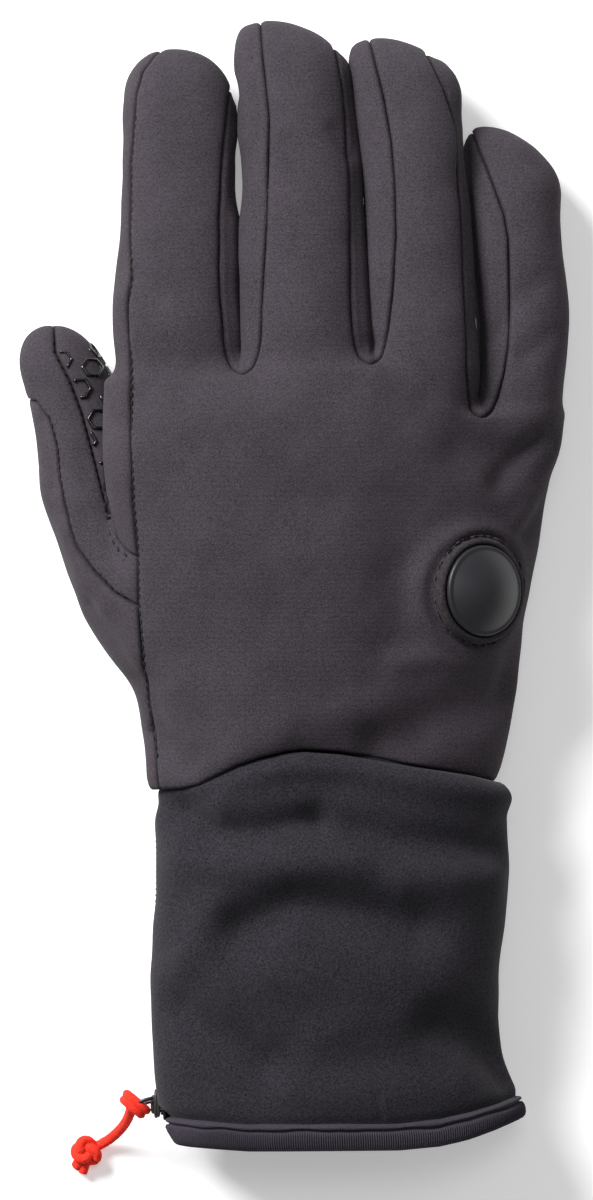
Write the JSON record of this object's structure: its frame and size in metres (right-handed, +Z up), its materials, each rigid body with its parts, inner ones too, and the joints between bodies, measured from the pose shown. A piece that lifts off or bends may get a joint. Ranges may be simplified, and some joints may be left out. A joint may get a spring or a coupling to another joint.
{
  "type": "heated glove",
  "caption": "Padded five-finger glove for the right hand with a round heat button, gripping thumb print, knit cuff, side zip and pull cord",
  "frame": {"origin": "on the surface that the glove lies on, under the middle of the glove's bounding box, without its pull cord", "axes": "+Y from the cuff to the fingertips, +X to the little finger, +Z up, out of the back of the hand"},
  "size_m": [0.1346, 0.2889, 0.0466],
  "materials": {
    "softshell": "matt heathered knit face",
    "grip_cloth": "matt, with a glossy hexagon grip print on the thumb",
    "fleece": "matt, soft brushed face",
    "binding": "matt rib",
    "zip_black": "satin",
    "wire_black": "satin black",
    "button_plastic": "satin",
    "cord_orange": "matt braid"
  },
  "bodies": {
    "glove": {"back_panel": "softshell", "palm_panel": "grip_cloth", "fourchette_index_middle": "softshell", "fourchette_middle_ring": "softshell", "fourchette_ring_little": "softshell", "thumb_back": "softshell", "thumb_grip": "grip_cloth", "cuff": "fleece", "hem_binding": "binding", "zip_tape": "zip_black", "zip_teeth": "zip_black", "zip_slider": "zip_black", "zip_wire": "wire_black", "pull_hitch": "cord_orange", "pull_cord": "cord_orange", "pull_knot": "cord_orange", "button_ring": "softshell"},
    "button": {"button_cap": "button_plastic"}
  },
  "joints": [
    {"name": "button_press", "type": "slide", "parent": "glove", "child": "button", "axis": [-0.5878, 0, -0.809], "range_m": [0, 0.0006], "stiffness_N_per_m": 3000, "springref_m": -0.0002}
  ]
}
